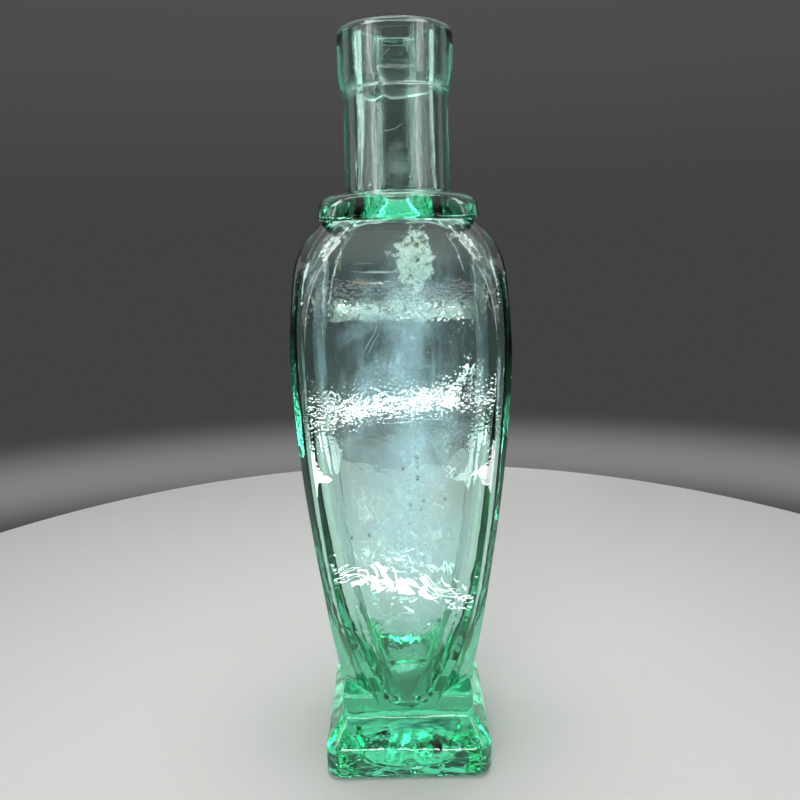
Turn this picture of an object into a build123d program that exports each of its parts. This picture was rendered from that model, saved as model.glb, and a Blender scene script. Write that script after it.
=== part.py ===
"""Antique mould-blown urn bottle with a square pedestal foot and an applied lip.

Millimetres, +Z up. The origin is the middle of the face that the bottle stands on.
Two pieces of glass: the blown vessel, and the ring laid on the end of its neck.
"""

import os

from build123d import *

# Heights of the vessel's stages, from the foot up
plinth_wall_top = 9.3
band_bottom = 16.6
tongue_bottom = 19.2
band_top = 23.6
body_top = 154.6
collar_bottom = 153.8
collar_top = 160.0
lip_bottom = 186.2
neck_end = 197.4
rim_height = 201.0

# The foot: a square plinth with a sloping top, and a square band over it
plinth_half = 23.5
plinth_corner = 4.6
plinth_foot_round = 2.4
band_half = 18.5
band_corner = 2.4
band_edge_round = 0.9
recess_radius = 15.5
recess_depth = 1.5
recess_dome = (recess_radius**2 + recess_depth**2) / (2 * recess_depth)

# The collar on the shoulder, and the neck above it
collar_half = 20.2
collar_corner = 7.0
collar_crown = 4.4
collar_lower_round = 0.8
neck_foot_radius = 14.0
neck_head_radius = 13.5
neck_end_radius = 12.3
neck_cove = 1.6

# The urn body: half width and height of its outline, across the flats and across the corners.
# The flats end below as tongues with rounded corners that lap over the band.
flat_foot = 19.1
flat_foot_top = 24.5
body_flats = [
    (20.4, 38.0),
    (23.0, 61.0),
    (26.0, 90.0),
    (27.5, 121.0),
    (26.6, 138.0),
    (22.9, 149.8),
    (18.4, body_top),
]
shoulder_end = (-1.0, 0.6)
corner_foot = 19.2
tongue_round = 2.2
body_corners = [
    (21.7, 29.0),
    (26.7, 44.5),
    (31.4, 69.0),
    (34.6, 94.0),
    (35.9, 120.0),
    (34.0, 137.5),
    (28.2, 148.4),
    (21.0, body_top),
]

# The hollow inside: half width, corner radius and height of its sections, from well to throat.
# A round well in the foot is its lowest part.
well_radius = 8.2
well_floor = 12.4
throat_radius = 9.9
throat_height = 158.2
throat_lap = 1.0
hollow_sections = [
    (well_radius, well_radius - 0.1, well_floor + well_radius),
    (10.4, 7.4, 26.0),
    (14.4, 7.6, 38.0),
    (19.2, 7.0, 61.0),
    (22.4, 6.6, 90.0),
    (24.2, 6.4, 120.0),
    (23.2, 7.2, 138.0),
    (18.6, 8.6, 150.4),
    (throat_radius, throat_radius - 0.1, throat_height),
]

# The bore of the neck, with a straight seat for a cork at its mouth
cork_radius = 9.25
cork_seat_depth = 24.0
mouth_round = 0.9
seat_bottom = rim_height - mouth_round - cork_seat_depth

# The ring of the lip, and the run of glass that sagged from it onto the neck
lip_radius = 14.75
lip_lower_radius = 13.95
lip_flare_top = 190.4
lip_flare_start = (1, 2)
rim_round = 1.8
run_angle = -110.0
run_radius = 4.5
run_stand = 0.6
run_height = 186.0

# More than the bottle's half width, for outlines that are carried right across it
through = 60.0


with BuildSketch() as body_across_flats:
    with BuildLine():
        foot = Polyline((0, tongue_bottom), (flat_foot, tongue_bottom), (flat_foot, flat_foot_top))
        wall = Spline(foot @ 1, *body_flats, tangents=[(0, 1), shoulder_end])
        Line(wall @ 1, (0, body_top))
        mirror(about=Plane.YZ)
    make_face()

with BuildSketch() as body_across_corners:
    with BuildLine():
        foot = Line((0, tongue_bottom), (corner_foot - tongue_round, tongue_bottom))
        turn = JernArc(foot @ 1, (1, 0), tongue_round, 90)
        wall = Spline(turn @ 1, *body_corners, tangents=[(0, 1), shoulder_end])
        Line(wall @ 1, (0, body_top))
        mirror(about=Plane.YZ)
    make_face()

with BuildPart() as urn:
    with BuildSketch(Plane.XZ):
        add(body_across_flats.sketch)
    extrude(amount=through, both=True)
    with BuildSketch(Plane.YZ):
        add(body_across_flats.sketch)
    extrude(amount=through, both=True, mode=Mode.INTERSECT)
    for angle in (45, -45):
        with BuildSketch(Plane.XZ.rotated((0, 0, angle))):
            add(body_across_corners.sketch)
        extrude(amount=through, both=True, mode=Mode.INTERSECT)

with BuildPart() as hollow:
    for half, corner, height in hollow_sections:
        with BuildSketch(Plane.XY.offset(height)):
            RectangleRounded(2 * half, 2 * half, corner)
    loft()
    with Locations((0, 0, well_floor + well_radius)):
        Sphere(well_radius)

with BuildPart() as band:
    with BuildSketch(Plane.XY.offset(band_bottom)):
        RectangleRounded(2 * band_half, 2 * band_half, band_corner)
    extrude(amount=band_top - band_bottom)
    fillet(band.edges().group_by(Axis.Z)[-1], band_edge_round)

with BuildPart() as collar:
    with BuildSketch(Plane.XY.offset(collar_bottom)):
        RectangleRounded(2 * collar_half, 2 * collar_half, collar_corner)
    extrude(amount=collar_top - collar_bottom)
    fillet(collar.edges().group_by(Axis.Z)[-1], collar_crown)
    fillet(collar.edges().group_by(Axis.Z)[0], collar_lower_round)

with BuildPart() as bottle_body:
    # Plinth
    with BuildSketch():
        RectangleRounded(2 * plinth_half, 2 * plinth_half, plinth_corner)
    extrude(amount=plinth_wall_top)
    fillet(bottle_body.edges().group_by(Axis.Z)[0], plinth_foot_round)
    with BuildSketch(Plane.XY.offset(plinth_wall_top)):
        RectangleRounded(2 * plinth_half, 2 * plinth_half, plinth_corner)
    with BuildSketch(Plane.XY.offset(band_bottom)):
        RectangleRounded(2 * band_half, 2 * band_half, band_corner)
    loft()
    # Band, body and collar
    add(band.part)
    add(urn.part)
    add(collar.part)
    # Neck, narrowed at its end where the lip grips it
    with BuildSketch(Plane.XZ):
        with BuildLine():
            Polyline(
                (0, body_top - collar_crown),
                (neck_foot_radius, body_top - collar_crown),
                (neck_foot_radius, collar_top),
                (neck_head_radius, lip_bottom),
                (neck_end_radius, lip_bottom),
                (neck_end_radius, neck_end),
                (0, neck_end),
                close=True,
            )
        make_face()
    revolve(axis=Axis.Z)
    # Hollow and bore
    add(hollow.part, mode=Mode.SUBTRACT)
    with BuildSketch(Plane.XZ):
        with BuildLine():
            Polyline(
                (0, throat_height - throat_lap),
                (throat_radius, throat_height - throat_lap),
                (throat_radius, throat_height + throat_lap),
                (cork_radius, seat_bottom),
                (cork_radius, rim_height),
                (0, rim_height),
                close=True,
            )
        make_face()
    revolve(axis=Axis.Z, mode=Mode.SUBTRACT)
    # Domed recess under the foot
    with Locations((0, 0, recess_depth - recess_dome)):
        Sphere(recess_dome, mode=Mode.SUBTRACT)

with BuildPart() as applied_lip:
    # Ring, flared from the neck to its full size and rounded at the rim
    with BuildSketch(Plane.XZ):
        with BuildLine():
            Line((0, lip_bottom), (lip_lower_radius, lip_bottom))
            Spline(
                (lip_lower_radius, lip_bottom),
                (lip_radius, lip_flare_top),
                tangents=[lip_flare_start, (0, 1)],
            )
            Line((lip_radius, lip_flare_top), (lip_radius, rim_height))
            Line((lip_radius, rim_height), (0, rim_height))
            Line((0, rim_height), (0, lip_bottom))
        make_face()
    revolve(axis=Axis.Z)
    fillet(applied_lip.edges().group_by(Axis.Z)[-1], rim_round)
    # Run of glass below the ring
    run_reach = neck_head_radius + run_stand - run_radius
    with PolarLocations(run_reach, 1, start_angle=run_angle):
        with Locations((0, 0, run_height)):
            Sphere(run_radius)
    # The mouth, and the neck that the ring is laid round
    with Locations((0, 0, rim_height)):
        Hole(cork_radius)
    fillet(applied_lip.edges().group_by(Axis.Z)[-1].sort_by(SortBy.LENGTH)[0], mouth_round)
    add(bottle_body.part, mode=Mode.SUBTRACT)

bottle_body.part.label = "bottle_body"
applied_lip.part.label = "applied_lip"

os.makedirs("parts", exist_ok=True)
export_step(bottle_body.part, "parts/bottle_body.step")
export_step(applied_lip.part, "parts/applied_lip.step")
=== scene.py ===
"""Looks of an antique urn bottle: pale aqua glass blown in a mould, with an applied lip.

The glass is one closed wall, so light bends only where it meets air. Metres throughout,
apart from the outlines, which are written in millimetres as a mould maker would.
"""

from math import atan2, cos, pi, radians, sin, sqrt

import bmesh
import bpy
import numpy as np
from mathutils import Euler, Matrix, Vector
from mathutils.bvhtree import BVHTree


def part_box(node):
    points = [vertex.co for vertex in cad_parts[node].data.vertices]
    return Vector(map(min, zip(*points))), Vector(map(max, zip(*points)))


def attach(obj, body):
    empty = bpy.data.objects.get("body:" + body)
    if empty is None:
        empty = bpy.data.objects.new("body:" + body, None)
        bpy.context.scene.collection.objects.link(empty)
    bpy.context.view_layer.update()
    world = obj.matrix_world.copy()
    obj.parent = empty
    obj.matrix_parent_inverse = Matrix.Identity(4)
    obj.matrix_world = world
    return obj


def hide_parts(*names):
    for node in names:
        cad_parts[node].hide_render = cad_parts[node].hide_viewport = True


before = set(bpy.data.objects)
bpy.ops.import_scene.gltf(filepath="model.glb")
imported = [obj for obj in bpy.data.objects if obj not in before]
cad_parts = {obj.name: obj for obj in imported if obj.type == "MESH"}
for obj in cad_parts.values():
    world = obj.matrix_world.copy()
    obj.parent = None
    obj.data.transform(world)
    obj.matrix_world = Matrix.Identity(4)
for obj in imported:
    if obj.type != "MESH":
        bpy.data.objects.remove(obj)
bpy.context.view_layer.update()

MM = 0.001
EIGHTH = pi / 4

# How finely the glass is drawn
COLUMNS = 28  # of faces in each eighth of its girth
POLE_STEPS = 9  # rings from each pole to the edge of its dome
BODY_STEPS = 112
HOLLOW_STEPS = 108
EVENED_RINGS = 5  # above and below a ring, that its points are evened out with

GLASS_IOR = 1.5
CLEAR = (1, 1, 1, 1)

# Heights of the glass, in millimetres
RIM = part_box("applied_lip")[1].z / MM
LIP_BOTTOM = 186.0
CORK_SEAT = 177.0
COLLAR_TOP = 160.0
COLLAR_BOTTOM = 153.8
BAND_TOP = 23.5
TONGUE_BOTTOM = 19.2
BAND_BOTTOM = 16.6
PLINTH_WALL_TOP = 9.3
HOLLOW_TOP = 158.2
WELL_TOP = 19.0
WELL_FLOOR = 12.6
RECESS_DEPTH = 1.5

# Half widths, corner radii and radii, in millimetres
FOOT_HALF, FOOT_CORNER = 23.5, 4.4
BAND_HALF, BAND_CORNER = 18.5, 2.4
CORNER_FOOT = 19.2
TONGUE_ROUND = 2.2
COLLAR_HALF, COLLAR_CORNER = 20.3, 7.0
RECESS_RADIUS = 15.5
NECK_FOOT = 14.0
NECK_HEAD = 13.5
LIP_RADIUS = 14.75
CORK_RADIUS = 9.25
THROAT_RADIUS = 9.9
WELL_RADIUS = 7.9


# ---------------------------------------------------------------------------
# Writing node trees
# ---------------------------------------------------------------------------


class Socket:
    """A node's output, which sums and products can be written with."""

    def __init__(self, tree, out):
        self.tree = tree
        self.out = out

    def maths(self, operation, *terms):
        return self.tree.node("ShaderNodeMath", {"operation": operation}, dict(enumerate(terms)))

    def __add__(self, other):
        return self.maths("ADD", self, other)

    def __radd__(self, other):
        return self.maths("ADD", other, self)

    def __sub__(self, other):
        return self.maths("SUBTRACT", self, other)

    def __rsub__(self, other):
        return self.maths("SUBTRACT", other, self)

    def __mul__(self, other):
        return self.maths("MULTIPLY", self, other)

    def __rmul__(self, other):
        return self.maths("MULTIPLY", other, self)

    def __truediv__(self, other):
        return self.maths("DIVIDE", self, other)

    def __rtruediv__(self, other):
        return self.maths("DIVIDE", other, self)

    def __pow__(self, other):
        return self.maths("POWER", self, other)


class Tree:
    """Adds nodes to a material, the world or a geometry rule."""

    def __init__(self, nodes):
        self.nodes = nodes.nodes
        self.links = nodes.links

    def node(self, kind, settings=None, sockets=None, output=0):
        """A node of this kind. Its settings go in first, then its sockets' values or links."""
        made = self.nodes.new(kind)
        for name, value in (settings or {}).items():
            setattr(made, name, value)
        for name, value in (sockets or {}).items():
            if isinstance(value, Socket):
                self.links.new(value.out, made.inputs[name])
            else:
                made.inputs[name].default_value = value
        return Socket(self, made.outputs[output])

    def smooth(self, value, low, high):
        """0 below low, 1 above high, and an even ease between."""
        return self.node(
            "ShaderNodeMapRange",
            {"interpolation_type": "SMOOTHSTEP"},
            {"Value": value, "From Min": low, "From Max": high},
        )

    def between(self, value, rise, fall):
        """1 between two ranges, eased to 0 across each of them."""
        return self.smooth(value, *rise) * (1 - self.smooth(value, *fall))

    def bounded(self, operation, one, other):
        """The lesser or the greater of two values: operation is MINIMUM or MAXIMUM."""
        return self.node("ShaderNodeMath", {"operation": operation}, {0: one, 1: other})

    def size_of(self, value):
        """A value without its sign."""
        return self.node("ShaderNodeMath", {"operation": "ABSOLUTE"}, {0: value})

    def noise(self, where, size, detail=2.0, roughness=0.5, distortion=0.0):
        """Noise whose blotches are about size metres across."""
        return self.node(
            "ShaderNodeTexNoise",
            None,
            {
                "Vector": where,
                "Scale": 1 / size,
                "Detail": detail,
                "Roughness": roughness,
                "Distortion": distortion,
            },
        )

    def stretched(self, where, scale):
        """Places scaled along each axis: a pattern grows longer as an axis's scale drops."""
        return self.node("ShaderNodeMapping", None, {"Vector": where, "Scale": scale})

    def mixed(self, share, one, other):
        """A colour between two, each given as red, green and blue."""
        return self.node(
            "ShaderNodeMix",
            {"data_type": "RGBA"},
            {0: share, 6: (*one, 1), 7: (*other, 1)},
            output=2,
        )

    def place(self):
        """A point's place in the bottle, in metres."""
        return self.node("ShaderNodeTexCoord", output=3)

    def place_in_mm(self, place):
        """How far across, back and up a point is, in millimetres."""
        split = "ShaderNodeSeparateXYZ"
        return [self.node(split, None, {"Vector": place}, output=axis) / MM for axis in range(3)]


def new_material(name):
    """A material, its tree and its bare Principled surface."""
    material = bpy.data.materials.new(name)
    material.use_nodes = True
    tree = Tree(material.node_tree)
    return material, tree, material.node_tree.nodes["Principled BSDF"]


def feed(tree, surface, **values):
    """Set the surface's sockets by name, from a number or from another node."""
    for name, value in values.items():
        socket = surface.inputs[name.replace("_", " ").title().replace("Ior", "IOR")]
        if isinstance(value, Socket):
            tree.links.new(value.out, socket)
        else:
            socket.default_value = value


# ---------------------------------------------------------------------------
# Materials
# ---------------------------------------------------------------------------


GREEN, GREEN_DENSITY = (0.30, 0.91, 0.73, 1), 70.0  # what the glass takes from light, per metre

# Heights between which each pattern on the glass comes and goes, in millimetres
HAMMERED_RISE, HAMMERED_FALL = (94, 102), (116, 122)
SHOULDER_RISE = (122, 128)
NECK_RISE = (160, 164)
SWIRLED_RISE, SWIRLED_FALL = (34, 44), (68, 84)
FOOTING_FALL = (12, 24)

# Sizes of the patterns on the glass
PEBBLE = 0.85 * MM
DIMPLE = 2.6 * MM
RIPPLE = 5 * MM
DRAWN_LINE = 0.9 * MM
SWIRL = 9 * MM
WEAR = 9 * MM


def aqua_glass():
    """Pale glass, emerald where it is thick: pebbled, rippled, and drawn out at the neck."""
    material, tree, surface = new_material("aqua_glass")
    place = tree.place()
    up = tree.place_in_mm(place)[2]
    neck = tree.smooth(up, *NECK_RISE)
    hammered = tree.between(up, HAMMERED_RISE, HAMMERED_FALL)
    shoulder = tree.smooth(up, *SHOULDER_RISE) * (1 - neck)
    pebbles = tree.node(
        "ShaderNodeTexVoronoi",
        {"feature": "SMOOTH_F1"},
        {"Vector": place, "Scale": 1 / PEBBLE, "Smoothness": 0.6},
    )
    dimples = tree.noise(place, DIMPLE, 2.0, 0.5) * (1 - tree.smooth(up, *FOOTING_FALL))
    ripple = tree.noise(tree.stretched(place, (1, 1, 0.35)), RIPPLE, 1.0)
    drawn = tree.noise(tree.stretched(place, (1, 1, 0.05)), DRAWN_LINE, 3.0, 0.6) * neck
    swirled = tree.between(up, SWIRLED_RISE, SWIRLED_FALL)
    swirl = tree.noise(place, SWIRL, 2.0, 0.5, 1.5) * swirled
    pebbled = 0.03 + 0.28 * hammered + 0.24 * shoulder
    normal = tree.node(
        "ShaderNodeBump",
        None,
        {
            "Strength": 0.35,
            "Distance": 0.25 * MM,
            "Height": pebbles * pebbled + 0.5 * ripple + dimples + 0.6 * drawn + 3 * swirl,
        },
    )
    worn = tree.smooth(tree.noise(place, WEAR, 4.0, 0.6), 0.52, 0.75)
    feed(
        tree,
        surface,
        base_color=CLEAR,
        roughness=0.006 + 0.05 * worn,
        ior=GLASS_IOR,
        transmission_weight=1.0,
        normal=normal,
    )
    taken = tree.node(
        "ShaderNodeVolumeAbsorption",
        None,
        {"Color": GREEN, "Density": GREEN_DENSITY},
    )
    out = material.node_tree.nodes["Material Output"]
    tree.links.new(taken.out, out.inputs["Volume"])
    return material


def seed_air():
    """Air in a bubble: light leaves glass for it, so it bends the other way."""
    material, tree, surface = new_material("seed_air")
    feed(
        tree,
        surface,
        base_color=CLEAR,
        roughness=0.0,
        ior=1 / GLASS_IOR,
        transmission_weight=1.0,
    )
    return material


HAZE_BLUE = (0.70, 0.82, 0.97, 1)
HAZE_RISE, HAZE_FALL = (34, 60), (126, 150)
HAZE_EDGE = (11, 17)  # from each wall's middle, where its corners begin
STREAK_MIDDLE, STREAK_EDGE = 2.0, (2.0, 8.0)


def sick_haze():
    """The bluish bloom that old water leaves inside: clouds, a wandering streak and runs."""
    material, tree, surface = new_material("sick_haze")
    place = tree.place()
    across, back, up = tree.place_in_mm(place)
    clouds = tree.smooth(tree.noise(place, 19 * MM, 4.0, 0.6, 0.8), 0.46, 0.66)
    mottle = tree.smooth(tree.noise(place, 1.5 * MM, 4.0, 0.7), 0.40, 0.70)
    trickles = tree.noise(tree.stretched(place, (1, 1, 0.12)), 3 * MM, 2.0)
    runs = tree.smooth(trickles, 0.52, 0.72)
    wander = tree.noise(place, 12 * MM, 3.0) * 16 - 8
    streak = 1 - tree.smooth(tree.size_of(across - STREAK_MIDDLE + wander), *STREAK_EDGE)
    from_middle = tree.bounded("MINIMUM", tree.size_of(across), tree.size_of(back))
    cornered = 0.85 * tree.smooth(from_middle, *HAZE_EDGE)
    spread = tree.between(up, HAZE_RISE, HAZE_FALL) * (1 - cornered)
    bloom = (0.16 + clouds + 0.8 * streak) * (0.4 + 0.6 * mottle) * 0.30 + runs * 0.10
    feed(tree, surface, base_color=HAZE_BLUE, roughness=0.9, alpha=bloom * spread + 0.004)
    return material


# Middles and half sizes of the marks, as (across, up) in millimetres
CRUST_MIDDLE, CRUST_HALF = (3.6, 143.7), (5.2, 6.6)
SMEAR_MIDDLE, SMEAR_HALF = (-5.0, 141.0), (6.8, 3.4)
VEIL_MIDDLE, VEIL_HALF = (2.0, 135.2), (5.5, 3.4)
TIDE_BOTTOM, TIDE_FALL, TIDE_EDGE = 128.4, (133.0, 135.5), (14, 19)
CRUST_GREY, PIT_BROWN = (0.88, 0.92, 0.88), (0.20, 0.19, 0.06)


def dried_residue():
    """A pale crust with a broken rim and brown pits, smears beside it and a tide line below."""
    material, tree, surface = new_material("dried_residue")
    place = tree.place()
    across, _, up = tree.place_in_mm(place)

    def away(middle, half):
        """How far a point is from a mark's middle, 1 at the mark's rim."""
        return (((across - middle[0]) / half[0]) ** 2 + ((up - middle[1]) / half[1]) ** 2) ** 0.5

    ragged = (tree.noise(place, 2.4 * MM, 6.0, 0.7) - 0.5) * 2.3
    lobes = (tree.noise(place, 5 * MM, 2.0) - 0.5) * 0.8
    crust = 1 - tree.smooth(away(CRUST_MIDDLE, CRUST_HALF) + ragged + lobes, 0.75, 1.02)
    grain = tree.smooth(tree.noise(place, 0.7 * MM, 4.0, 0.7), 0.30, 0.60)
    pits = tree.smooth(tree.noise(place, 1.9 * MM, 3.0, 0.6), 0.57, 0.64)
    wiped = tree.noise(tree.stretched(place, (0.12, 1, 1.5)), 1.7 * MM, 3.0)
    smear = tree.smooth(wiped, 0.55, 0.63)
    beside = 1 - tree.smooth(away(SMEAR_MIDDLE, SMEAR_HALF), 0.6, 1.1)
    veil = 1 - tree.smooth(away(VEIL_MIDDLE, VEIL_HALF), 0.4, 1.1)
    tide_edge = tree.noise(place, 4 * MM, 4.0, 0.6) * 2.4 + TIDE_BOTTOM
    tide = tree.smooth(up, tide_edge, tide_edge + 0.6) * (1 - tree.smooth(up, *TIDE_FALL))
    tide = tide * (1 - tree.smooth(tree.size_of(across), *TIDE_EDGE)) * (0.5 + grain)
    marks = crust * (0.36 + 0.40 * grain) + grain * (0.5 * smear * beside + 0.28 * veil)
    tint = tree.mixed(pits, CRUST_GREY, PIT_BROWN)
    feed(tree, surface, base_color=tint, roughness=0.95, alpha=marks + 0.26 * tide + 0.002)
    return material


def plain_grit(name, colour):
    """A dry, dull stuff that varies from half of its colour to the whole."""
    material, tree, surface = new_material(name)
    shade = tree.noise(tree.place(), 0.4 * MM)
    tint = tree.mixed(shade, [part * 0.5 for part in colour], colour)
    feed(tree, surface, base_color=tint, roughness=0.85)
    return material


# ---------------------------------------------------------------------------
# The glass wall
# ---------------------------------------------------------------------------
# A section of the wall is (height, half width across flats, half width across corners,
# radius of its edges): an eight-sided figure with rounded edges. A circle and a rounded
# square are two of its forms.


def circle(z, radius):
    return np.array((z, radius, radius, radius))


def square(z, half, edge):
    return np.array((z, half, (half - edge) * sqrt(2) + edge, edge))


def eight_sided(z, flat, corner, edge):
    return np.array((z, flat, corner, edge))


def through_points(points, places):
    """Values of a natural cubic curve through (place, value) points."""
    x, y = np.array(points, float).T
    gap = np.diff(x)
    rows = np.eye(len(x))
    slopes = np.zeros(len(x))
    for i in range(1, len(x) - 1):
        rows[i, i - 1 : i + 2] = gap[i - 1], 2 * (gap[i - 1] + gap[i]), gap[i]
        slopes[i] = 6 * ((y[i + 1] - y[i]) / gap[i] - (y[i] - y[i - 1]) / gap[i - 1])
    bend = np.linalg.solve(rows, slopes)
    i = np.clip(np.searchsorted(x, places) - 1, 0, len(x) - 2)
    left, right = places - x[i], x[i + 1] - places
    return (
        (bend[i] * right**3 + bend[i + 1] * left**3) / (6 * gap[i])
        + (y[i] / gap[i] - bend[i] * gap[i] / 6) * right
        + (y[i + 1] / gap[i] - bend[i + 1] * gap[i] / 6) * left
    )


# The urn's outline across its flats and across its corners, as (height, half width)
BODY_FLATS = [
    (22.5, 19.1),
    (30.0, 19.6),
    (38.0, 20.4),
    (61.0, 23.0),
    (90.0, 26.0),
    (106.0, 27.1),
    (121.0, 27.5),
    (138.0, 26.6),
    (149.0, 23.4),
    (153.8, 19.0),
]
BODY_CORNERS = [
    (21.4, 19.2),
    (29.0, 21.7),
    (36.0, 24.3),
    (44.5, 26.7),
    (69.0, 31.4),
    (94.0, 34.6),
    (120.0, 35.9),
    (137.5, 34.0),
    (148.0, 28.2),
    (153.8, 22.0),
]
BODY_EDGE = 0.75
SHOULDER_EDGE = 4.5
SHOULDER_START, SHOULDER_SPAN = 120, 16  # where the edges soften
TONGUE_SINK = 1.3  # how far the flats lie in under the tongues
TONGUE_STEP = 0.7
TONGUE_FILLET = 0.6

# The hollow's half width and corner radius, as (height, half width, corner radius)
HOLLOW = [
    (19.0, 7.9, 7.8),
    (26.0, 10.4, 7.4),
    (38.0, 14.4, 7.6),
    (61.0, 19.2, 7.0),
    (90.0, 22.4, 6.6),
    (120.0, 24.2, 6.4),
    (138.0, 23.2, 7.2),
    (150.4, 18.6, 8.6),
    (158.2, 9.9, 9.8),
]


def eased(value):
    """0 below 0, 1 above 1, and an even ease between."""
    value = np.clip(value, 0, 1)
    return value * value * (3 - 2 * value)


def body_at(z):
    """The urn's section at a height. Its flats end below as tongues with round corners."""
    lowest = BODY_FLATS[0][0]
    flat = float(through_points(BODY_FLATS, np.array([max(z, lowest)]))[0])
    flat -= TONGUE_SINK * (1 - eased((z - TONGUE_BOTTOM + TONGUE_STEP / 2) / TONGUE_STEP))
    if z < TONGUE_BOTTOM + TONGUE_ROUND:
        rise = TONGUE_ROUND - max(z - TONGUE_BOTTOM, 0)
        corner = CORNER_FOOT - TONGUE_ROUND + sqrt(TONGUE_ROUND**2 - rise**2)
    else:
        corner = float(through_points(BODY_CORNERS, np.array([z]))[0])
    softened = eased((z - SHOULDER_START) / SHOULDER_SPAN)
    edge = BODY_EDGE + (SHOULDER_EDGE - BODY_EDGE) * softened
    return eight_sided(z, flat, min(corner, flat * sqrt(2) - 0.5), edge)


def rounded(corners, spacing):
    """Sections along straight runs between corners, each corner given with its round."""
    sections = [point for point, _ in corners]
    runs = [b - a for a, b in zip(sections, sections[1:])]
    lengths = [max(np.hypot(r[0], (r[1] + r[2]) / 2), 1e-6) for r in runs]
    path = []
    begin = sections[0]
    for i, (run, length) in enumerate(zip(runs, lengths)):
        last = i == len(runs) - 1
        round_off = 0 if last else corners[i + 1][1]  # how far from its corner a round begins
        end = sections[i + 1] - run / length * round_off
        steps = max(1, round(np.hypot(*(end - begin)[:2]) / spacing))
        path += [begin + (end - begin) * s / steps for s in range(steps)]
        if round_off:
            corner = sections[i + 1]
            after = corner + runs[i + 1] / lengths[i + 1] * round_off
            turns = 4 if round_off < 1 else 7
            for s in range(turns):
                t = s / turns
                path.append((1 - t) ** 2 * end + 2 * t * (1 - t) * corner + t * t * after)
            begin = after
        else:
            begin = end
    return path + [begin]


def reach(section, angle):
    """How far a section reaches from the axis, at angles from a flat's middle to a corner's."""
    _, flat, corner, edge = section
    x = flat - edge
    y = (corner - edge) * sqrt(2) - x
    along = x * np.cos(angle) + y * np.sin(angle)
    on_edge = along + np.sqrt(np.maximum(along**2 - x * x - y * y + edge * edge, 0))
    on_flat = flat / np.cos(angle)
    on_corner = corner / np.cos(EIGHTH - angle)
    corner_start = atan2(y + edge * sqrt(0.5), x + edge * sqrt(0.5))
    past_flat = np.where(angle >= corner_start, on_corner, on_edge)
    return np.where(np.tan(angle) * flat <= y, on_flat, past_flat)


def merged(one, other, blend):
    """The further of two reaches, with a fillet where they meet."""
    close = np.maximum(blend - np.abs(one - other), 0) / blend
    return np.maximum(one, other) + close * close * blend / 4


def outside_path():
    """Pairs of sections from under the foot, up the outside, over the rim and down the bore.

    Where two sections are given, as at the tongues, the wall follows the further one.
    """
    dome = (RECESS_RADIUS**2 + RECESS_DEPTH**2) / (2 * RECESS_DEPTH)
    path = []
    for step in range(1, POLE_STEPS):
        radius = RECESS_RADIUS * step / POLE_STEPS
        path.append((circle(RECESS_DEPTH - dome + sqrt(dome**2 - radius**2), radius), None))
    foot = rounded(
        [
            (circle(0.28, RECESS_RADIUS - 0.8), 0),
            (circle(0, RECESS_RADIUS + 0.2), 0.5),
            (square(0, FOOT_HALF, FOOT_CORNER), 2.6),
            (square(PLINTH_WALL_TOP, FOOT_HALF, FOOT_CORNER), 1.7),
            (square(BAND_BOTTOM, BAND_HALF + 0.2, BAND_CORNER), 0.7),
            (square(TONGUE_BOTTOM - 0.6, BAND_HALF, BAND_CORNER), 0),
        ],
        0.9,
    )
    path += [(section, None) for section in foot]
    ledge = rounded(
        [
            (square(TONGUE_BOTTOM - 0.35, BAND_HALF, BAND_CORNER), 0),
            (square(BAND_TOP, BAND_HALF, BAND_CORNER), 1.1),
            (square(BAND_TOP + 1.1, 12.0, 2.0), 0),
        ],
        0.33,
    )
    path += [(section, body_at(section[0])) for section in ledge]
    start = BAND_TOP + 1.1
    for step in range(1, BODY_STEPS + 1):
        z = start + (COLLAR_BOTTOM - 0.15 - start) * step / BODY_STEPS
        path.append((body_at(z), None))
    body_head = body_at(COLLAR_BOTTOM - 0.15)
    _, flat, corner, _ = body_head
    body_end = eight_sided(COLLAR_BOTTOM, flat - 0.1, corner - 0.1, SHOULDER_EDGE)
    collar = rounded(
        [
            (body_head, 0),
            (body_end, 0),
            (square(COLLAR_BOTTOM + 0.25, COLLAR_HALF, COLLAR_CORNER), 0.9),
            (square(COLLAR_TOP + 0.1, COLLAR_HALF - 0.6, COLLAR_CORNER), 4.6),
            (circle(COLLAR_TOP, NECK_FOOT), 1.5),
            (circle(LIP_BOTTOM - 0.2, NECK_HEAD), 0.5),
            (circle(LIP_BOTTOM + 0.1, NECK_HEAD + 0.5), 0.3),
            (circle(188.4, 14.55), 0.35),
            (circle(190.2, LIP_RADIUS), 0.35),
            (circle(RIM, LIP_RADIUS + 0.05), 2.4),
            (circle(RIM, CORK_RADIUS), 1.3),
            (circle(CORK_SEAT, CORK_RADIUS), 4.0),
            (circle(HOLLOW_TOP + 2.0, THROAT_RADIUS), 0),
        ],
        0.95,
    )
    return path + [(section, None) for section in collar[1:]]


def inside_path():
    """Sections down the hollow, from its throat to the well in the foot."""
    halves = [(z, half) for z, half, _ in HOLLOW]
    edges = [(z, edge) for z, _, edge in HOLLOW]
    heights = np.linspace(HOLLOW_TOP, WELL_TOP, HOLLOW_STEPS)
    sizes = zip(heights, through_points(halves, heights), through_points(edges, heights))
    path = [square(z, half, min(edge, half - 0.05)) for z, half, edge in sizes]
    for step in range(1, POLE_STEPS):
        turn = pi / 2 * step / POLE_STEPS
        z = WELL_TOP - (WELL_TOP - WELL_FLOOR) * sin(turn)
        path.append(circle(z, WELL_RADIUS * cos(turn)))
    return path


def bump_at(value, middle, width):
    """A smooth hump, 1 at its middle."""
    return np.exp(-(((value - middle) / width) ** 2))


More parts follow.
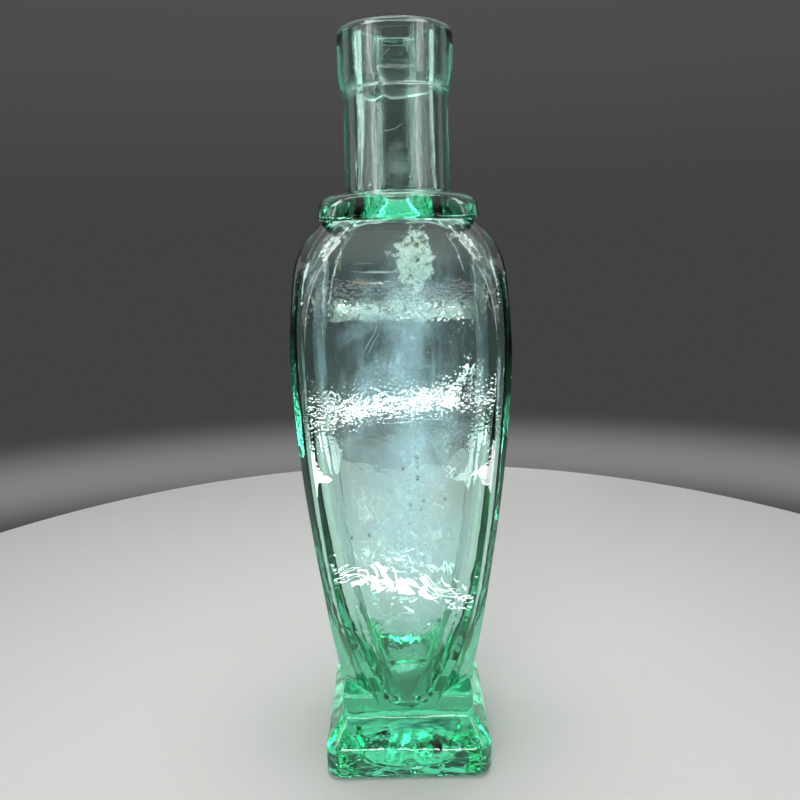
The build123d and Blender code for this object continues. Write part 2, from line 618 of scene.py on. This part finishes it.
# The lip's edge sags in waves, as (height, waves round the lip, phase)
LIP_SAG = [(0.40, 1, -radians(200)), (0.15, 2, 1.0), (0.06, 5, 2.0)]
RUN_ANGLE = radians(250)
RUN_FOOT, RUN_EASE = 182.2, 2.4
RUN_STAND, RUN_HALF = 0.55, 2.1
# The neck's streaks, as (how many round it, phase)
NECK_STREAKS = [(9, 0.3), (14, 2.1), (23, 4.0), (37, 1.2)]
STREAK_HEIGHT = 0.035


def hand_tooled(z, radius, angle):
    """The lip's uneven lower edge, the run of glass below it and the neck's streaks."""
    sag = sum(height * np.cos(count * angle + phase) for height, count, phase in LIP_SAG)
    z = z - sag * bump_at(z, LIP_BOTTOM + 0.8, 3.2)
    away = (angle - RUN_ANGLE + pi) % (2 * pi) - pi
    run = eased((z - RUN_FOOT) / RUN_EASE) * (1 - eased((z - LIP_BOTTOM) / RUN_EASE))
    radius = radius + RUN_STAND * bump_at(away * NECK_HEAD, 0, RUN_HALF) * run
    streaks = sum(np.cos(count * angle + phase) / count**0.5 for count, phase in NECK_STREAKS)
    on_neck = eased((z - COLLAR_TOP - 1) / 6) * (1 - eased((z - 198.5) / 2))
    return z, radius + STREAK_HEIGHT * streaks * on_neck


def wall_reach(section, other, angles):
    """How far the wall reaches where it follows one section or the further of two."""
    radius = reach(section, angles)
    if other is None:
        return radius
    return merged(radius, reach(other, angles), TONGUE_FILLET)


def face_angles(path):
    """Angles of each ring's points in an eighth of the girth, closer where the wall turns."""
    fine = np.linspace(0, EIGHTH, 361)
    spread = []
    for section, other in path:
        radius = wall_reach(section, other, fine)
        x, y = radius * np.cos(fine), radius * np.sin(fine)
        step = np.hypot(np.diff(x), np.diff(y))
        heading = np.unwrap(np.arctan2(np.diff(y), np.diff(x)))
        turn = np.abs(np.diff(heading, prepend=heading[0]))
        weight = 0.78 * step / step.sum() + 0.22 * turn / max(turn.sum(), 1e-9)
        grown = np.concatenate(([0], np.cumsum(weight))) / weight.sum()
        spread.append(np.interp(np.linspace(0, 1, COLUMNS + 1), grown, fine))
    kernel = bump_at(np.arange(-EVENED_RINGS, EVENED_RINGS + 1), 0, 2.2)
    kernel /= kernel.sum()
    padded = np.pad(np.array(spread), ((EVENED_RINGS, EVENED_RINGS), (0, 0)), mode="edge")
    return np.stack([np.convolve(column, kernel, mode="valid") for column in padded.T], axis=1)


def build_wall():
    """Rings of points up the outside and down the inside, closed at both poles."""
    outside = outside_path()
    path = outside + [(section, None) for section in inside_path()]
    rings = []
    for i, ((section, other), angles) in enumerate(zip(path, face_angles(path))):
        radius = wall_reach(section, other, angles)
        quarter = np.concatenate((angles, pi / 2 - angles[-2:0:-1]))
        quarter_radius = np.concatenate((radius, radius[-2:0:-1]))
        angle = np.concatenate([quarter + pi / 2 * turn for turn in range(4)])
        ring = np.tile(quarter_radius, 4)
        z = np.full_like(ring, section[0])
        if i < len(outside) and section[0] > COLLAR_TOP:
            z, ring = hand_tooled(z, ring, angle)
        rings.append(np.stack((ring * np.cos(angle), ring * np.sin(angle), z), axis=1))
    count = 8 * COLUMNS
    poles = np.array([[0, 0, RECESS_DEPTH]]), np.array([[0, 0, WELL_FLOOR]])
    points = np.concatenate([poles[0], *rings, poles[1]])
    around = [(j, (j + 1) % count) for j in range(count)]
    faces = [(0, 1 + k, 1 + j) for j, k in around]
    for i in range(len(rings) - 1):
        low, high = 1 + i * count, 1 + (i + 1) * count
        faces += [(low + j, low + k, high + k, high + j) for j, k in around]
    last = 1 + (len(rings) - 1) * count
    faces += [(len(points) - 1, last + j, last + k) for j, k in around]
    mesh = bpy.data.meshes.new("glass_vessel")
    mesh.from_pydata(points * MM, [], faces)
    mesh.update()
    mesh.shade_smooth()
    inner = mesh.attributes.new("inner", "FLOAT", "POINT")
    first_inner = 1 + len(outside) * count
    inner.data.foreach_set("value", (np.arange(len(points)) >= first_inner).astype(float))
    return mesh


# ---------------------------------------------------------------------------
# Pieces that follow a rule
# ---------------------------------------------------------------------------


def new_piece(name, data):
    """An object at the origin, unturned, made from a mesh, a lamp or a lens."""
    piece = bpy.data.objects.new(name, data)
    bpy.context.collection.objects.link(piece)
    return piece


def rule(name, inputs):
    """A new geometry rule with named inputs. Returns it, its tree and its input sockets."""
    group = bpy.data.node_groups.new(name, "GeometryNodeTree")
    face = group.interface
    face.new_socket("Geometry", in_out="INPUT", socket_type="NodeSocketGeometry")
    for title, kind, value in inputs:
        made = face.new_socket(title, in_out="INPUT", socket_type=kind)
        if value is not None:
            made.default_value = value
    face.new_socket("Geometry", in_out="OUTPUT", socket_type="NodeSocketGeometry")
    tree = Tree(group)
    entry = group.nodes.new("NodeGroupInput")
    given = {socket.name: Socket(tree, socket) for socket in entry.outputs if socket.name}
    return group, tree, given


def finish_rule(group, tree, geometry, material):
    """End a rule with Realize Instances and Set Material."""
    real = tree.node("GeometryNodeRealizeInstances", None, {"Geometry": geometry})
    done = tree.node("GeometryNodeSetMaterial", None, {"Geometry": real, "Material": material})
    out = group.nodes.new("NodeGroupOutput")
    tree.links.new(done.out, out.inputs[0])


def make_by_rule(name, mesh, group, values):
    """Run a geometry rule on a mesh with these input values, and keep the plain result."""
    blank = new_piece(name + "_blank", mesh)
    modifier = blank.modifiers.new("rule", "NODES")
    modifier.node_group = group
    names = {item.name: item.identifier for item in group.interface.items_tree}
    for title, value in values.items():
        modifier[names[title]] = value
    bpy.context.view_layer.update()
    evaluated = blank.evaluated_get(bpy.context.evaluated_depsgraph_get())
    made = bpy.data.meshes.new_from_object(evaluated)
    blank.modifiers.remove(modifier)
    bpy.data.objects.remove(blank)
    made.name = name
    return new_piece(name, made)


# Heights between which the collar's and the foot's ripples come and go, in metres
COLLAR_RISE, COLLAR_FALL = (0.1535, 0.155), (0.1595, 0.161)
FOOT_FALL = (0.022, 0.030)
STANDING_FALL = (0.001, 0.004)


def wave_rule(material):
    """Waves in a wall's skin, long ones inside, and short ones on the foot and the collar.

    The foot's underside is dimpled upwards, so that the bottle still stands on its lowest points.
    """
    group, tree, given = rule(
        "blown_waves",
        [
            ("Outer Height", "NodeSocketFloat", 0.0),
            ("Outer Size", "NodeSocketFloat", 0.02),
            ("Inner Height", "NodeSocketFloat", 0.0),
            ("Inner Size", "NodeSocketFloat", 0.02),
            ("Dimple Height", "NodeSocketFloat", 0.0),
            ("Dimple Size", "NodeSocketFloat", 0.006),
            ("Ripple Height", "NodeSocketFloat", 0.0),
            ("Ripple Size", "NodeSocketFloat", 0.005),
            ("Foot Top", "NodeSocketFloat", 0.01),
            ("Neck Foot", "NodeSocketFloat", 0.2),
        ],
    )
    place = tree.node("GeometryNodeInputPosition")
    up = tree.node("ShaderNodeSeparateXYZ", None, {"Vector": place}, output=2)
    normal = tree.node("GeometryNodeInputNormal")
    inner = tree.node("GeometryNodeInputNamedAttribute", {"data_type": "FLOAT"}, {"Name": "inner"})

    def waves(kind):
        """Waves between plus and minus half of the kind's height."""
        size, height = given[kind + " Size"], given[kind + " Height"]
        noise = tree.node(
            "ShaderNodeTexNoise",
            None,
            {"Vector": place, "Scale": 1 / size, "Detail": 2.0},
        )
        return (noise - 0.5) * height

    on_collar = tree.between(up, COLLAR_RISE, COLLAR_FALL)
    ripples = waves("Ripple") * (1 - tree.smooth(up, *FOOT_FALL) + 0.6 * on_collar)
    outer = (waves("Outer") + ripples) * tree.smooth(up, 0.0005, given["Foot Top"])
    neck = given["Neck Foot"]
    inside = waves("Inner") * (1 - tree.smooth(up, neck - 0.02, neck))
    give = outer * (1 - inner) + inside * inner
    offset = tree.node(
        "ShaderNodeVectorMath",
        {"operation": "SCALE"},
        {"Vector": normal, "Scale": give},
    )
    set_place = "GeometryNodeSetPosition"
    waved = tree.node(set_place, None, {"Geometry": given["Geometry"], "Offset": offset})
    dimples = tree.bounded("MAXIMUM", waves("Dimple") + 0.2 * given["Dimple Height"], 0.0)
    raised = dimples * (1 - tree.smooth(up, *STANDING_FALL)) * (1 - inner)
    lift = tree.node("ShaderNodeCombineXYZ", None, {"Z": raised})
    dimpled = tree.node(set_place, None, {"Geometry": waved, "Offset": lift})
    finish_rule(group, tree, dimpled, material)
    return group


def glass_vessel(glass):
    """The whole bottle's wall, vessel and lip in one, as they are once the lip is fused on."""
    return make_by_rule(
        "glass_vessel",
        build_wall(),
        wave_rule(glass),
        {
            "Outer Height": 0.45 * MM,
            "Outer Size": 24 * MM,
            "Inner Height": 1.0 * MM,
            "Inner Size": 34 * MM,
            "Dimple Height": 0.7 * MM,
            "Dimple Size": 6 * MM,
            "Ripple Height": 0.5 * MM,
            "Ripple Size": 5 * MM,
            "Foot Top": 5 * MM,
            "Neck Foot": 160 * MM,
        },
    )


def glass_numbers(vessel):
    """The vessel's points, normals, faces and which points are on the hollow's side."""
    mesh = vessel.data
    points = np.empty(len(mesh.vertices) * 3)
    mesh.vertices.foreach_get("co", points)
    normals = np.empty(len(mesh.vertices) * 3)
    mesh.vertices.foreach_get("normal", normals)
    inner = np.empty(len(mesh.vertices))
    mesh.attributes["inner"].data.foreach_get("value", inner)
    faces = [tuple(face.vertices) for face in mesh.polygons]
    return points.reshape(-1, 3), normals.reshape(-1, 3), faces, inner


def cut_out(faces, chosen):
    """The chosen points that faces need, and those faces renumbered to match."""
    kept = [face for face in faces if all(chosen[v] for v in face)]
    used = sorted({v for face in kept for v in face})
    order = {v: i for i, v in enumerate(used)}
    return used, [tuple(order[v] for v in face) for face in kept]


def coat(name, numbers, chosen, lift, thickness, material):
    """A closed film that follows the chosen part of the glass's skin, lift above it."""
    points, normals, faces, _ = numbers
    used, rings = cut_out(faces, chosen)
    low = points[used] + normals[used] * lift
    high = points[used] + normals[used] * (lift + thickness)
    count = len(used)
    made = []
    edges = {}
    for ring in rings:
        made.append(tuple(i + count for i in ring))
        made.append(tuple(reversed(ring)))
        edges.update(dict.fromkeys(zip(ring, ring[1:] + ring[:1])))
    for a, b in edges:
        if (b, a) not in edges:
            made.append((b + count, a + count, a, b))
    mesh = bpy.data.meshes.new(name)
    mesh.from_pydata(np.concatenate((low, high)), [], made)
    mesh.materials.append(material)
    mesh.shade_smooth()
    return new_piece(name, mesh)


def skin_patch(numbers, chosen):
    """A bare copy of the chosen part of the glass's skin, for a rule to scatter over."""
    points, _, faces, _ = numbers
    used, kept = cut_out(faces, chosen)
    mesh = bpy.data.meshes.new("skin_patch")
    mesh.from_pydata(points[used], [], kept)
    mesh.update()
    return mesh


def scatter_rule(name, material, smooth_shade):
    """Small round bodies strewn over a skin, sunk into it or standing on it."""
    group, tree, given = rule(
        name,
        [
            ("Density", "NodeSocketFloat", 1000.0),
            ("Least Size", "NodeSocketFloat", 0.0001),
            ("Greatest Size", "NodeSocketFloat", 0.0003),
            ("Least Depth", "NodeSocketFloat", 0.0),
            ("Greatest Depth", "NodeSocketFloat", 0.0),
            ("Stretch", "NodeSocketFloat", 1.0),
            ("Roundness", "NodeSocketInt", 2),
            ("Seed", "NodeSocketInt", 1),
        ],
    )
    strewn = tree.node(
        "GeometryNodeDistributePointsOnFaces",
        None,
        {"Mesh": given["Geometry"], "Density": given["Density"], "Seed": given["Seed"]},
    )
    normal = Socket(tree, strewn.out.node.outputs["Normal"])

    def random(low, high, seed):
        return tree.node(
            "FunctionNodeRandomValue",
            {"data_type": "FLOAT"},
            {2: low, 3: high, "Seed": seed},
            output=1,
        )

    depth = random(given["Least Depth"], given["Greatest Depth"], 11)
    sunk = tree.node(
        "ShaderNodeVectorMath",
        {"operation": "SCALE"},
        {"Vector": normal, "Scale": depth * -1},
    )
    placed = tree.node("GeometryNodeSetPosition", None, {"Geometry": strewn, "Offset": sunk})
    chance = random(0.0, 1.0, 12)
    size = given["Least Size"] + (given["Greatest Size"] - given["Least Size"]) * chance**3
    scale = tree.node(
        "ShaderNodeCombineXYZ",
        None,
        {"X": size, "Y": size, "Z": size * given["Stretch"]},
    )
    ball = tree.node(
        "GeometryNodeMeshIcoSphere",
        None,
        {"Radius": 1.0, "Subdivisions": given["Roundness"]},
    )
    balls = tree.node(
        "GeometryNodeInstanceOnPoints",
        None,
        {"Points": placed, "Instance": ball, "Scale": scale},
    )
    real = tree.node("GeometryNodeRealizeInstances", None, {"Geometry": balls})
    shaded = tree.node(
        "GeometryNodeSetShadeSmooth",
        None,
        {"Geometry": real, "Shade Smooth": smooth_shade},
    )
    finish_rule(group, tree, shaded, material)
    return group


def seed_bubbles(numbers, air):
    """Bubbles of air caught in the wall, drawn out a little along the bottle."""
    points, _, _, inner = numbers
    body = (inner < 0.5) & (points[:, 2] > 0.004) & (points[:, 2] < 0.197)
    return make_by_rule(
        "seed_bubbles",
        skin_patch(numbers, body),
        scatter_rule("seeds", air, True),
        {
            "Density": 7500.0,
            "Least Size": 0.08 * MM,
            "Greatest Size": 0.42 * MM,
            "Least Depth": 0.75 * MM,
            "Greatest Depth": 1.7 * MM,
            "Stretch": 1.35,
            "Roundness": 3,
            "Seed": 5,
        },
    )


def specks(name, numbers, chosen, material, density, sizes, seed):
    """Grit stuck to the glass's skin."""
    return make_by_rule(
        name,
        skin_patch(numbers, chosen),
        scatter_rule(name, material, False),
        {
            "Density": density,
            "Least Size": sizes[0] * MM,
            "Greatest Size": sizes[1] * MM,
            "Least Depth": -0.12 * MM,
            "Greatest Depth": -0.10 * MM,
            "Stretch": 0.8,
            "Roundness": 1,
            "Seed": seed,
        },
    )


def scratch_rule(material):
    """A fine thread of bruised glass along each drawn line."""
    group, tree, given = rule(
        "scratches",
        [("Width", "NodeSocketFloat", 0.00005), ("Sides", "NodeSocketInt", 4)],
    )
    line = tree.node("GeometryNodeMeshToCurve", None, {"Mesh": given["Geometry"]})
    section = tree.node(
        "GeometryNodeCurvePrimitiveCircle",
        None,
        {"Resolution": given["Sides"], "Radius": given["Width"]},
    )
    tube = tree.node(
        "GeometryNodeCurveToMesh",
        None,
        {"Curve": line, "Profile Curve": section, "Fill Caps": True},
    )
    finish_rule(group, tree, tube, material)
    return group


# Lines on the front: from and to, as (across, up) in millimetres, and how far each one bows
SCRATCHES = [
    ((-5.4, 173.8), (1.2, 176.4), 0.3),
    ((-4.0, 191.0), (-1.6, 193.4), 0.2),
    ((-8.7, 123.1), (-5.6, 129.1), 0.2),
    ((-7.9, 122.4), (-5.2, 127.0), -0.1),
    ((-5.3, 66.3), (-1.5, 61.4), 0.25),
    ((6.0, 100.5), (8.6, 97.0), 0.3),
    ((-11.0, 88.0), (-10.2, 82.5), 0.15),
    ((3.0, 71.0), (4.0, 64.5), -0.3),
    ((-2.5, 33.0), (2.0, 35.2), 0.2),
]
RUST_STROKES = [
    ((-11.3, 138.8), (-8.6, 139.1), 0.2),
    ((-9.8, 138.6), (-6.9, 138.9), -0.2),
    ((13.9, 139.0), (14.7, 139.8), 0.1),
]
OCHRE_STROKES = [
    ((-14.4, 143.2), (-13.9, 146.4), 0.3),
    ((-14.0, 142.0), (-14.2, 143.4), -0.2),
    ((1.2, 146.8), (0.6, 144.4), 0.3),
]


BEFORE_FRONT = -0.06  # where a line of sight to the front wall begins
FORWARDS, BACKWARDS = Vector((0, -1, 0)), Vector((0, 1, 0))
STROKE_STEPS = 12


def strokes(name, vessel, lines, width, material, inside=False):
    """Fine threads that lie on the front wall, outside it or in the hollow."""
    wall = BVHTree.FromObject(vessel, bpy.context.evaluated_depsgraph_get())
    if inside:
        begin, way, lift = 0.0, FORWARDS, 0.27 * MM
    else:
        begin, way, lift = BEFORE_FRONT, BACKWARDS, 0.03 * MM
    points, edges = [], []
    for start, end, bow in lines:
        for step in range(STROKE_STEPS + 1):
            t = step / STROKE_STEPS
            across = start[0] + (end[0] - start[0]) * t + bow * sin(pi * t)
            up = start[1] + (end[1] - start[1]) * t + bow * sin(2 * pi * t)
            place, normal, _, _ = wall.ray_cast(Vector((across * MM, begin, up * MM)), way)
            points.append(place + normal * lift)
            if step:
                edges.append((len(points) - 2, len(points) - 1))
    mesh = bpy.data.meshes.new(name + "_lines")
    mesh.from_pydata(points, edges, [])
    return make_by_rule(name, mesh, scratch_rule(material), {"Width": width * MM, "Sides": 4})


# Places (across, up) and radii in millimetres of the larger bubbles in the front wall
SEEDS = [
    (3.4, 95.4, 0.35),
    (3.6, 92.8, 0.27),
    (3.5, 89.7, 0.46),
    (-0.1, 92.3, 0.32),
    (15.4, 121.0, 0.41),
    (15.6, 117.2, 0.32),
    (15.5, 112.8, 0.46),
    (15.7, 110.6, 0.27),
    (6.7, 128.5, 0.32),
    (6.6, 122.3, 0.38),
    (1.6, 82.4, 0.41),
    (4.2, 81.2, 0.35),
    (5.0, 83.4, 0.30),
    (-9.2, 74.0, 0.41),
    (10.8, 62.5, 0.35),
    (-4.0, 168.4, 0.30),
    (2.2, 177.6, 0.24),
]


SEED_DEPTH = 1.1 * MM
SEED_STRETCH = 1.5


def large_seeds(vessel, air):
    """The few bubbles that are large enough to be found one by one."""
    wall = BVHTree.FromObject(vessel, bpy.context.evaluated_depsgraph_get())
    shape = bmesh.new()
    for across, up, radius in SEEDS:
        begin = Vector((across * MM, BEFORE_FRONT, up * MM))
        place, normal, _, _ = wall.ray_cast(begin, BACKWARDS)
        stretch = Matrix.Diagonal((1, 1, SEED_STRETCH, 1))
        middle = Matrix.Translation(place - normal * SEED_DEPTH) @ stretch
        bmesh.ops.create_icosphere(shape, subdivisions=3, radius=radius * MM, matrix=middle)
    mesh = bpy.data.meshes.new("large_seeds")
    shape.to_mesh(mesh)
    shape.free()
    mesh.materials.append(air)
    mesh.shade_smooth()
    return new_piece("large_seeds", mesh)


# ---------------------------------------------------------------------------
# Stage
# ---------------------------------------------------------------------------


FLOOR_GREY = (0.42, 0.42, 0.41, 1)
FLOOR_RADIUS = 0.27

# Lamps, as (name, place, size, brightness, target, turn in degrees)
OVERHEAD_LAMPS = [
    ("overhead_strip", (0, 0.03, 0.60), (0.5, 0.02), 16.0, (0, 0, 0.15), 0),
    ("level_strip", (0, -0.60, 0.19), (0.9, 0.02), 3.0, (0, 0, 0.10), 0),
    ("near_strip", (0, -0.078, 0.014), (0.06, 0.004), 24.0, (0, 0, 0.03), -14),
]
LOW_LAMPS = [
    ("front_strip", (0, -0.27, 0.03), (0.5, 0.006), 30.0, (0, 0, 0.06), 8),
    ("back_strip", (0, 0.42, 0.006), (0.34, 0.0022), 60.0, (0, 0, 0.006), -8),
    ("upper_strip", (0, 0.42, 0.086), (0.20, 0.0012), 16.0, (0, 0, 0.086), 7),
]
# Lamps of each side: kind, the right one's place, size, share of its side's brightness,
# and the height it is aimed at
SIDE_LAMPS = [
    ("softbox", (0.47, -0.30, 0.30), (0.42, 0.30), 1, 0.17),
    ("rim", (0.50, 0.20, 0.30), (0.16, 0.30), 0.6, 0.17),
    ("strip", (0.50, -0.07, 0.28), (0.03, 0.30), 2.4, 0.17),
    ("tall_strip", (0.40, -0.36, 0.36), (0.05, 0.60), 5, 0.15),
    ("shoulder_box", (0.25, -0.13, 0.54), (0.14, 0.24), 7, 0.15),
]
SIDES = [("left", -1, 1.6), ("right", 1, 1.3)]  # name, way and brightness
# Bright cards that lie on the floor, one off each front corner: side, way and brightness
CARD_SIZE, CARD_TURN = (0.06, 0.25), 0.827
CARDS = [("left", -1, 30.0), ("right", 1, 18.0)]


def soft_light(name, place, size, brightness, target=(0, 0, 0.1), turn=0.0, on="glass", spread=180):
    """A soft box at a place, aimed at a target and turned about its own middle.

    It is seen only in the glass, or with on="matt" it lights only the matt surfaces.
    """
    lamp = bpy.data.lights.new(name, "AREA")
    lamp.shape = "RECTANGLE"
    lamp.size, lamp.size_y = size
    lamp.energy = brightness * pi * size[0] * size[1]
    lamp.spread = radians(spread)
    obj = new_piece(name, lamp)
    obj.location = place
    facing = (Vector(target) - Vector(place)).to_track_quat("-Z", "Y").to_matrix()
    obj.rotation_euler = (facing @ Matrix.Rotation(turn, 3, "Z")).to_euler()
    obj.visible_camera = False
    obj.visible_diffuse = on == "matt"
    obj.visible_glossy = obj.visible_transmission = on == "glass"


def pale_floor():
    material, tree, surface = new_material("pale_floor")
    feed(tree, surface, base_color=FLOOR_GREY, roughness=0.55)
    bpy.ops.mesh.primitive_circle_add(vertices=128, radius=FLOOR_RADIUS, fill_type="NGON")
    floor = bpy.context.object
    floor.name = "floor"
    floor.data.materials.append(material)


def studio_walls():
    """A dim room, brighter overhead, with a soft seam of light low down all round."""
    world = bpy.data.worlds.new("studio")
    bpy.context.scene.world = world
    world.use_nodes = True
    tree = Tree(world.node_tree)
    direction = tree.node("ShaderNodeTexCoord", output=0)
    up = tree.node("ShaderNodeSeparateXYZ", None, {"Vector": direction}, output=2)
    seam = tree.between(up, (-0.34, -0.29), (-0.285, -0.23))
    wall = 0.02 * tree.smooth(up, 0.0, 0.25)
    ceiling = 0.85 * tree.smooth(up, 0.24, 0.75)
    shade = 0.055 + wall + ceiling + 0.16 * seam
    background = world.node_tree.nodes["Background"]
    tree.links.new(shade.out, background.inputs["Color"])


def studio():
    studio_walls()
    soft_light("top_softbox", (0, 0.0, 0.55), (0.30, 0.30), 1.6, on="matt", spread=70)
    soft_light("front_fill", (-0.2, -0.7, 0.55), (0.4, 0.3), 7.5, on="matt")
    for *lamp, turn in OVERHEAD_LAMPS:
        soft_light(*lamp, radians(turn))
    for side, way, brightness in SIDES:
        for kind, (across, back, up), size, share, aim in SIDE_LAMPS:
            place = (across * way, back, up)
            soft_light(f"{side}_{kind}", place, size, share * brightness, (0, 0, aim))
    for *lamp, turn in LOW_LAMPS:
        soft_light(*lamp, radians(turn))
    for side, way, brightness in CARDS:
        across, back = 0.147 * way, -0.135
        place, above = (across, back, 0.002), (across, back, 1)
        soft_light(f"{side}_floor_card", place, CARD_SIZE, brightness, above, CARD_TURN * way)


def camera():
    """A lens close in front and a little above, tipped down and rolled slightly."""
    lens = bpy.data.cameras.new("camera")
    lens.sensor_width = 36
    lens.lens = 34.33
    obj = new_piece("camera", lens)
    obj.location = (-0.0005, -0.2097, 0.1515)
    tilt, roll = radians(90 - 12.64), radians(-1.21)
    look = Euler((tilt, 0, 0)).to_matrix() @ Matrix.Rotation(roll, 3, "Z")
    obj.rotation_euler = look.to_euler()
    bpy.context.scene.camera = obj


def place_piece(piece, *replaced, slot=None):
    """Ride a piece on the bottle, in place of the nodes it replaces."""
    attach(piece, "root")
    if replaced:
        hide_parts(*replaced)


vessel = glass_vessel(aqua_glass())
place_piece(vessel, "bottle_body", "applied_lip", slot="vessel_glass")

numbers = glass_numbers(vessel)
skin, _, _, inner = numbers
across, depth, up = (skin / MM).T
hollow = inner > 0.5
front = hollow & (depth < 0)
hazed = hollow & (up > 28) & (up < 153)
smeared = front & (abs(across) < 20) & (up > 127) & (up < 154)
crusted = front & (((across - 3.6) / 5.4) ** 2 + ((up - 143.9) / 7.2) ** 2 < 1)
speckled = hollow & (up > 40) & (up < 175)

air = seed_air()
place_piece(seed_bubbles(numbers, air))
place_piece(large_seeds(vessel, air))
haze = sick_haze()
place_piece(coat("sick_haze", numbers, hazed, 0.10 * MM, 0.05 * MM, haze))
residue = dried_residue()
place_piece(coat("dried_residue", numbers, smeared, 0.17 * MM, 0.06 * MM, residue))
chalk = plain_grit("chalk", (0.75, 0.78, 0.70))
rust = plain_grit("rust", (0.45, 0.16, 0.04))
place_piece(specks("chalk_grains", numbers, crusted, chalk, 1.2e6, (0.04, 0.16), 3))
place_piece(specks("rust_grains", numbers, crusted, rust, 1.3e5, (0.06, 0.20), 8))
place_piece(specks("loose_specks", numbers, speckled, rust, 2400.0, (0.05, 0.20), 21))
bruised = plain_grit("bruised_glass", (0.80, 0.84, 0.82))
ochre = plain_grit("ochre", (0.42, 0.32, 0.06))
orange = plain_grit("orange", (0.75, 0.22, 0.02))
place_piece(strokes("scratches", vessel, SCRATCHES, 0.035, bruised))
place_piece(strokes("rust_strokes", vessel, RUST_STROKES, 0.11, orange, True))
place_piece(strokes("ochre_strokes", vessel, OCHRE_STROKES, 0.13, ochre, True))

pale_floor()
studio()
camera()
bpy.context.scene.view_settings.view_transform = "Standard"
